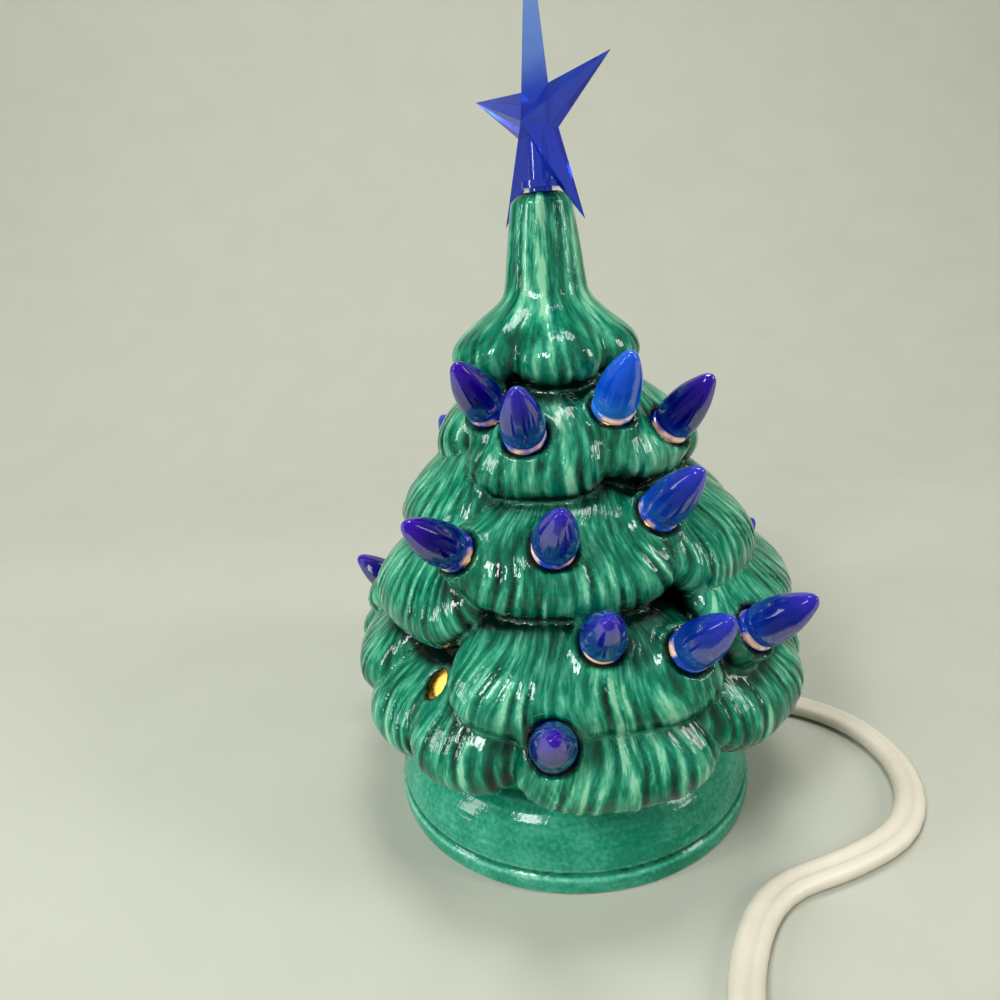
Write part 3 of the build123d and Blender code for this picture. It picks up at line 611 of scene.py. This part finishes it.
def star_material():
    """Clear blue plastic, deep in its body, its long upper ray painted pale as light through it from behind
    would make it.
    """
    material, tree, shader = new_material("blue_star")
    place = add_node(tree, "TexCoord")
    apart = add_node(tree, "SeparateXYZ")
    tree.links.new(place.outputs["Object"], apart.inputs["Vector"])
    haze = noise(tree, 160, 3)
    rise = maths(tree, "DIVIDE", maths(tree, "SUBTRACT", apart.outputs["Z"], STAR_CENTRE), STAR_RAY)
    rise = maths(tree, "ADD", rise, maths(tree, "MULTIPLY", maths(tree, "SUBTRACT", haze, 0.5), 0.2))
    # Painted light: the colour pales upwards from the middle, so the upper ray looks lit through from behind.
    colour = ramp(tree, rise, (
        (0.0, linear(26, 62, 208)),
        (0.16, linear(34, 74, 214)),
        (0.32, linear(112, 150, 238)),
        (0.7, linear(132, 174, 246)),
    ))
    tree.links.new(colour, shader.inputs["Base Color"])
    shader.inputs["Roughness"].default_value = 0.08
    shader.inputs["IOR"].default_value = 1.49
    shader.inputs["Transmission Weight"].default_value = 0.8
    bump(tree, shader, haze, 0.0002, 0.2)
    return material


def lamp_glass_material():
    """The lit lamp's glass: warm, and brighter in its middle."""
    material, tree, shader = new_material("lamp_glass")
    cloud = noise(tree, 60, 2)
    warm = ramp(tree, cloud, ((0.3, linear(255, 190, 96)), (0.7, linear(255, 214, 130))))
    tree.links.new(warm, shader.inputs["Emission Color"])
    shader.inputs["Base Color"].default_value = (*linear(250, 240, 220), 1)
    shader.inputs["Emission Strength"].default_value = 3.0
    shader.inputs["Roughness"].default_value = 0.08
    shader.inputs["IOR"].default_value = 1.5
    shader.inputs["Transmission Weight"].default_value = 0.6
    return material


def filament_material():
    material, tree, shader = new_material("filament")
    heat = ramp(tree, noise(tree, 900, 2), ((0.3, linear(255, 176, 80)), (0.7, linear(255, 230, 170))))
    tree.links.new(heat, shader.inputs["Emission Color"])
    shader.inputs["Emission Strength"].default_value = 8.0
    shader.inputs["Roughness"].default_value = 0.4
    return material


def metal_material(name, dark, light, rough):
    """Pressed or drawn metal with faint tarnish."""
    material, tree, shader = new_material(name)
    tarnish = noise(tree, 380, 4)
    tree.links.new(ramp(tree, tarnish, ((0.3, dark), (0.65, light))), shader.inputs["Base Color"])
    uneven = maths(tree, "ADD", rough, maths(tree, "MULTIPLY", maths(tree, "SUBTRACT", 0.5, tarnish), 0.3))
    tree.links.new(uneven, shader.inputs["Roughness"])
    shader.inputs["Metallic"].default_value = 1.0
    bump(tree, shader, tarnish, 0.0001, 0.2)
    return material


def plastic_material(name, dark, light, rough, scale):
    """Moulded plastic with a fine skin."""
    material, tree, shader = new_material(name)
    cloud = noise(tree, scale / 6, 3)
    skin = noise(tree, scale * 4, 2)
    tree.links.new(ramp(tree, cloud, ((0.3, dark), (0.7, light))), shader.inputs["Base Color"])
    uneven = maths(tree, "ADD", rough, maths(tree, "MULTIPLY", maths(tree, "SUBTRACT", skin, 0.5), 0.2))
    tree.links.new(uneven, shader.inputs["Roughness"])
    bump(tree, shader, skin, 0.00006, 0.5)
    return material


def dress_tree():
    """The glazed tree: boughs with needles, seats for the bulbs and the hollow for the lamp."""
    grid, plain, needled = tree_forms()
    feet = [foot - axis * SEAT_GAP for foot, axis in bulb_feet.values()]
    ways = [axis for _, axis in bulb_feet.values()]
    for form in (plain, needled):
        rods(grid, form, feet, ways, MOUND_RADIUS, -MOUND_DEPTH, 0.2, MOUND_BLEND, cut=False)
    rods(grid, needled, feet, ways, POCKET_RADIUS, 0, CLEAR_WAY, 0.5)
    rods(grid, needled, feet, ways, HOLE_RADIUS, -HOLE_DEPTH, 3.0, 0.4)
    empty = [np.array(EMPTY_SEAT)], [np.array(EMPTY_AXIS)]
    rods(grid, needled, *empty, HOLE_RADIUS, -HOLE_DEPTH, CLEAR_WAY, 0.6)
    points, quads = grid.mesh(needled)
    steps = np.gradient(needled, *grid.step)
    normals = np.stack([grid.sample(step, points) for step in steps], axis=1)
    normals /= np.maximum(np.linalg.norm(normals, axis=1, keepdims=True), 1e-6)
    groove = np.clip(0.30 - grid.sample(plain, points) / NEEDLE_DEPTH, 0, 1.2)
    # Painted shade, partly glaze pooling: darker where other boughs close in over a point, looked for at one
    # lookout and at two.
    open_sky = grid.sample(needled, points + normals * LOOKOUT) / LOOKOUT
    far_sky = grid.sample(needled, points + normals * 2 * LOOKOUT) / (2 * LOOKOUT)
    pooling_and_shade = np.clip((0.80 - open_sky) / 0.5, 0, 1) * 0.7
    pooling_and_shade = np.clip(pooling_and_shade + np.clip((0.70 - far_sky) / 0.6, 0, 1) * 0.45, 0, 1)
    inside = np.clip((-BARE_DEPTH - grid.sample(plain, points)) / 0.8, 0, 1)
    piece = new_object("tree_glazed", points, quads, glaze_material())
    set_values(piece, "groove", groove)
    set_values(piece, "stroke", strokes(points))
    set_values(piece, "pooling_and_shade", pooling_and_shade)
    set_values(piece, "inside", inside)
    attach(piece, "tree")
    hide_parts("tree_front", "tree_right", "tree_back", "tree_left")


def outline_distance(outline, radius, height):
    """The distance from points to a closed outline, less than zero inside it."""
    least = np.full(np.broadcast(radius, height).shape, np.inf)
    inside = np.zeros(least.shape, dtype=bool)
    for (r0, h0), (r1, h1) in zip(outline, outline[1:] + outline[:1]):
        run, rise = r1 - r0, h1 - h0
        share = np.clip(((radius - r0) * run + (height - h0) * rise) / (run * run + rise * rise), 0, 1)
        least = np.minimum(least, np.hypot(radius - r0 - share * run, height - h0 - share * rise))
        if rise:
            crosses = (h0 > height) != (h1 > height)
            inside ^= crosses & (radius < r0 + run * (height - h0) / rise)
    return np.where(inside, -least, least)


def blurred(values, reach):
    """A table of values, each the mean of those within a reach, taken twice each way."""
    for axis in (0, 1, 0, 1):
        total = sum(np.roll(values, shift, axis) for shift in range(-reach, reach + 1))
        values = total / (2 * reach + 1)
    return values


def dress_base():
    """The glazed base: rim, groove and dome softened by the glaze, collar, and the cord's notch."""
    grid = Grid((-33, -33, -2), (33, 33, 17), BASE_STEP)
    fine = 0.1
    radii, heights = np.arange(0, 48, fine), grid.lines[2]
    tall = np.arange(heights[0] - 1, heights[-1] + 1, fine)
    sharp_table = outline_distance(BASE_LINE, radii[:, None], tall[None, :])
    soft_table = blurred(sharp_table, int(GLAZE_SOFTNESS / fine))
    x, y, _ = grid.points()
    radius = np.hypot(x, y)[:, :, 0]
    sharp, soft = np.empty(grid.shape), np.empty(grid.shape)
    for layer, height in enumerate(heights):
        column = int(round((height - tall[0]) / fine))
        sharp[:, :, layer] = np.interp(radius, radii, sharp_table[:, column])
        soft[:, :, layer] = np.interp(radius, radii, soft_table[:, column])
    x, y, z = grid.points()
    out, side = outward(NOTCH_AZIMUTH), sideways(NOTCH_AZIMUTH)
    along, across = x * out[0] + y * out[1], np.abs(x * side[0] + y * side[1])
    above = z - NOTCH_HEIGHT + NOTCH_RADIUS
    arch = np.where(above > 0, np.hypot(across, above), across)
    notch = np.maximum(arch - NOTCH_RADIUS, NOTCH_START - along)
    soft = np.maximum(smooth_max(soft, -notch, 0.6), -z)
    points, quads = grid.mesh(soft)
    groove = np.clip(0.42 + grid.sample(sharp, points) / 0.32, 0, 1.2)
    hollow = (np.hypot(points[:, 0], points[:, 1]) < UNGLAZED[0]) & (points[:, 2] < UNGLAZED[1])
    bare = np.maximum(points[:, 2] < FOOT_BARE, hollow)
    piece = new_object("base_glazed", points, quads, base_material())
    set_values(piece, "groove", groove)
    set_values(piece, "inside", bare)
    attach(piece, "base")
    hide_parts("base")


def smooth_line(points, steps):
    """Points on a smooth line through the given ones."""
    ends = [points[0], *points, points[-1]]
    line = []
    for before, start, end, after in zip(ends, ends[1:], ends[2:], ends[3:]):
        before, start, end, after = (np.array(point) for point in (before, start, end, after))
        for step in range(steps):
            s = step / steps
            line.append(start + s * (end - before) / 2 + s * s * (before - 2.5 * start + 2 * end - after / 2)
                        + s**3 * (1.5 * (start - end) + (after - before) / 2))
    return line + [np.array(points[-1])]


def ring_quads(rings, count):
    """Quads between rings of points that follow each other."""
    ring, place = np.meshgrid(np.arange(rings - 1), np.arange(count), indexing="ij")
    after = (place + 1) % count
    near, far = ring * count, (ring + 1) * count
    return np.stack([near + place, near + after, far + after, far + place], axis=-1).reshape(-1, 4)


def dress_bulbs():
    """The push-in bulbs: fluted flames on collars, with their pegs in the tree."""
    flame = smooth_line(BULB_FLAME, FLAME_STEPS)
    line = np.array([*BULB_FOOT, *flame])
    line[:, 0] = np.maximum(line[:, 0], 0.02)
    turn = 2 * pi * np.arange(BULB_SEGMENTS) / BULB_SEGMENTS
    share = np.clip(line[:, 1] / BULB_LENGTH, 0, 1)
    depth = BULB_FLUTE_DEPTH * np.sin(pi * share) * (line[:, 1] > BULB_FLAME[0][1])
    radius = line[:, :1] - depth[:, None] * (0.5 + 0.5 * np.cos(BULB_FLUTES * turn))
    quads = ring_quads(len(line), BULB_SEGMENTS)
    paint = bulb_material()
    for number, (name, (foot, axis)) in enumerate(bulb_feet.items()):
        side = np.cross(axis, (0.0, 0.0, 1.0))
        side /= np.linalg.norm(side)
        up = np.cross(side, axis)
        spread = np.cos(turn)[:, None] * side + np.sin(turn)[:, None] * up
        points = foot + line[:, 1][:, None, None] * axis + radius[:, :, None] * spread
        piece = new_object(name + "_flame", points.reshape(-1, 3), quads, paint)
        set_values(piece, "along", np.repeat(line[:, 1] / BULB_LENGTH, BULB_SEGMENTS))
        pale = 1.0 if name in PALE_BULBS else 0.15 * (number % 3)
        set_values(piece, "pale", np.full(points.shape[0] * BULB_SEGMENTS, pale))
        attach(piece, name)
        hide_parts(name)


def coil_point(turn):
    """A point of the coil, which spirals in and out by turns and climbs a layer where it reverses."""
    spirals, spiral = divmod((turn + COIL_CLIMB_TURNS / 2) / COIL_LAYER_TURNS, 1)
    swing = COIL_PITCH * COIL_LAYER_TURNS / 2 * (1 - 2 * spiral)
    radius = COIL_RADIUS + (-swing if spirals % 2 else swing)
    layer = min(int(turn / COIL_LAYER_TURNS), COIL_LAYERS - 1)
    climb = min(max(1 - ((layer + 1) * COIL_LAYER_TURNS - turn) / COIL_CLIMB_TURNS, 0), 1)
    height = COIL_PITCH * (layer + climb * climb * (3 - 2 * climb))
    angle = pi + 2 * pi * turn
    return COIL_CENTRE[0] + radius * cos(angle), COIL_CENTRE[1] + radius * sin(angle), COIL_CENTRE[2] + height


def cord_path():
    """The points of the cord's one smooth line, in millimetres."""
    count = int(COIL_LAYERS * COIL_LAYER_TURNS * COIL_STEPS)
    route = CORD_ROUTE + [coil_point(step / COIL_STEPS) for step in range(count + 1)] + CORD_TAIL
    curve = bpy.data.curves.new("cord_line", "CURVE")
    curve.dimensions = "3D"
    curve.resolution_u = 4
    spline = curve.splines.new("NURBS")
    spline.points.add(len(route) - 1)
    for place, point in zip(spline.points, route):
        place.co = (*(Vector(point) * MM), 1)
    spline.order_u = 3
    spline.use_endpoint_u = True
    line = bpy.data.objects.new("cord_line", curve)
    mesh = bpy.data.meshes.new_from_object(line)
    points = np.empty(3 * len(mesh.vertices))
    mesh.vertices.foreach_get("co", points)
    bpy.data.objects.remove(line)
    bpy.data.meshes.remove(mesh)
    bpy.data.curves.remove(curve)
    return points.reshape(-1, 3) / MM


def dress_cord(vinyl):
    """The flex: two strands side by side, flat on the floor and on edge in the coil."""
    path = cord_path()
    way = np.gradient(path, axis=0)
    way /= np.linalg.norm(way, axis=1, keepdims=True)
    side = np.cross((0.0, 0.0, 1.0), way)
    side /= np.linalg.norm(side, axis=1, keepdims=True)
    up = np.cross(way, side)
    run = np.concatenate([[0], np.cumsum(np.linalg.norm(np.diff(path, axis=0), axis=1))])
    edge = np.clip((run - CORD_TURN[0]) / (CORD_TURN[1] - CORD_TURN[0]), 0, 1)
    edge = np.minimum(edge, np.clip((run[-1] - PLUG_TURN[0] - run) / PLUG_TURN[1], 0, 1))
    edge = (pi / 2 * edge * edge * (3 - 2 * edge))[:, None]
    wide, thin = np.cos(edge) * side + np.sin(edge) * up, np.cos(edge) * up - np.sin(edge) * side
    apart = CORD_WIDTH / 2 - CORD_STRAND
    half = pi - acos(apart / CORD_STRAND)
    arc = np.linspace(-half, half, 11)[:-1]
    section = [(apart + CORD_STRAND * cos(angle), CORD_STRAND * sin(angle)) for angle in arc]
    section += [(-across, -above) for across, above in section]
    points = np.stack([path + wide * across + thin * above for across, above in section], axis=1)
    quads = ring_quads(len(path), len(section))
    piece = new_object("cord_flex", points.reshape(-1, 3), quads, vinyl)
    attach(piece, "base")
    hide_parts("cord_run", "cord_coil")


def dress_node(material, *names):
    """Gives CAD nodes a material."""
    for name in names:
        if not nodes[name].material_slots:
            nodes[name].data.materials.append(material)
        for slot in nodes[name].material_slots:
            slot.material = material


cord_vinyl = plastic_material("cord_vinyl", linear(206, 198, 178), linear(222, 215, 198), 0.42, 420)
dress_cord(cord_vinyl)
dress_tree()
dress_base()
dress_bulbs()
dress_node(star_material(), "star_topper")
dress_node(lamp_glass_material(), "lamp_glass", "lamp_stem")
dress_node(metal_material("brass", (0.62, 0.42, 0.16), (0.80, 0.60, 0.28), 0.22), "lamp_cap", "socket_shell",
           "socket_contact", "plug_blades")
dress_node(metal_material("solder", (0.42, 0.43, 0.45), (0.62, 0.63, 0.65), 0.40), "lamp_contact")
dress_node(metal_material("drawn_wire", (0.30, 0.30, 0.32), (0.48, 0.48, 0.50), 0.30), "lamp_supports")
dress_node(metal_material("spring_steel", (0.36, 0.37, 0.39), (0.56, 0.57, 0.59), 0.28), "socket_clips")
dress_node(filament_material(), "lamp_filament")
dress_node(plastic_material("insulator", linear(16, 16, 18), linear(34, 33, 34), 0.45, 900),
           "lamp_insulator")
dress_node(plastic_material("white_plastic", linear(222, 220, 210), linear(236, 234, 226), 0.38, 600),
           "socket_body", "socket_cap")
dress_node(plastic_material("tie_plastic", linear(226, 226, 222), linear(240, 240, 238), 0.45, 800),
           "cord_tie")
dress_node(plastic_material("plug_plastic", linear(214, 204, 182), linear(228, 220, 200), 0.42, 500),
           "plug_body")
dress_node(cord_vinyl, "socket_wires")

# Camera and light
camera = bpy.data.objects.new("camera", bpy.data.cameras.new("camera"))
scene.collection.objects.link(camera)
camera.data.sensor_width = CAMERA_SENSOR
camera.data.lens = CAMERA_LENS
camera.data.clip_start = CAMERA_NEAR
pitch = Matrix.Rotation(radians(90 - CAMERA_PITCH), 4, "X")
roll = Matrix.Rotation(radians(-CAMERA_ROLL), 4, "Z")
camera.matrix_world = Matrix.Translation(Vector(CAMERA_PLACE) * MM) @ pitch @ roll
scene.camera = camera

# Soft panels: name, place and size in metres, power and colour
PANEL_TARGET = (0, 0, 0.05)
PANELS = (
    ("window", (-0.32, -0.42, 0.52), (0.13, 0.22), 2.9, (0.97, 0.99, 1.0)),
    ("side", (0.50, -0.22, 0.34), (0.10, 0.30), 1.5, (1.0, 0.97, 0.93)),
    ("door", (-0.50, -0.16, 0.24), (0.10, 0.26), 1.3, (0.97, 0.99, 1.0)),
    ("above", (0.05, 0.05, 0.75), (0.26, 0.20), 2.2, (1, 1, 1)),
)
for name, place, size, power, colour in PANELS:
    light = bpy.data.lights.new(name, "AREA")
    light.shape = "RECTANGLE"
    light.size, light.size_y = size
    light.energy = power
    light.color = colour
    lamp = bpy.data.objects.new(name, light)
    scene.collection.objects.link(lamp)
    lamp.location = place
    lamp.rotation_euler = (Vector(PANEL_TARGET) - Vector(place)).to_track_quat("-Z", "Y").to_euler()

SKY_LIGHT, SKY_SHOWN = 0.28, 0.62  # on the object, and as seen directly, through glass or in gloss
world = bpy.data.worlds.new("studio")
scene.world = world
world.use_nodes = True
sky = world.node_tree.nodes["Background"]
sky.inputs["Color"].default_value = (0.8, 0.8, 0.78, 1)
sky_tree = world.node_tree
rays = add_node(sky_tree, "LightPath").outputs
shown = maths(sky_tree, "MAXIMUM", rays["Is Camera Ray"], rays["Is Transmission Ray"])
shown = maths(sky_tree, "MAXIMUM", shown, rays["Is Glossy Ray"])
strength = maths(sky_tree, "MULTIPLY", shown, SKY_SHOWN - SKY_LIGHT)
sky_tree.links.new(maths(sky_tree, "ADD", SKY_LIGHT, strength), sky.inputs["Strength"])

# A pale sweep: floor, then up behind in one soft bend
SWEEP_BACK, SWEEP_BEND, SWEEP_HALF, SWEEP_TOP = 420.0, 260.0, 2400.0, 1800.0
SWEEP_STEPS = 12
sweep = [(-SWEEP_HALF, 0.0), (SWEEP_BACK - SWEEP_BEND, 0.0)]
for step in range(1, SWEEP_STEPS + 1):
    bend = pi / 2 * step / SWEEP_STEPS
    sweep.append((SWEEP_BACK - SWEEP_BEND * (1 - sin(bend)), SWEEP_BEND * (1 - cos(bend))))
sweep.append((SWEEP_BACK, SWEEP_TOP))
sweep_points = [(x, y, z) for y, z in sweep for x in (-SWEEP_HALF, SWEEP_HALF)]
sweep_faces = [(2 * n, 2 * n + 1, 2 * n + 3, 2 * n + 2) for n in range(len(sweep) - 1)]
floor_paint, floor_tree, floor_shader = new_material("floor")
plaster = ramp(floor_tree, noise(floor_tree, 40, 3), (
    (0.3, linear(183, 185, 171)),
    (0.7, linear(186, 188, 175)),
))
floor_tree.links.new(plaster, floor_shader.inputs["Base Color"])
floor_shader.inputs["Roughness"].default_value = 0.85
floor_shader.inputs["Specular IOR Level"].default_value = 0.0
floor = new_object("floor", sweep_points, sweep_faces, floor_paint)
scene.view_settings.view_transform = "Standard"
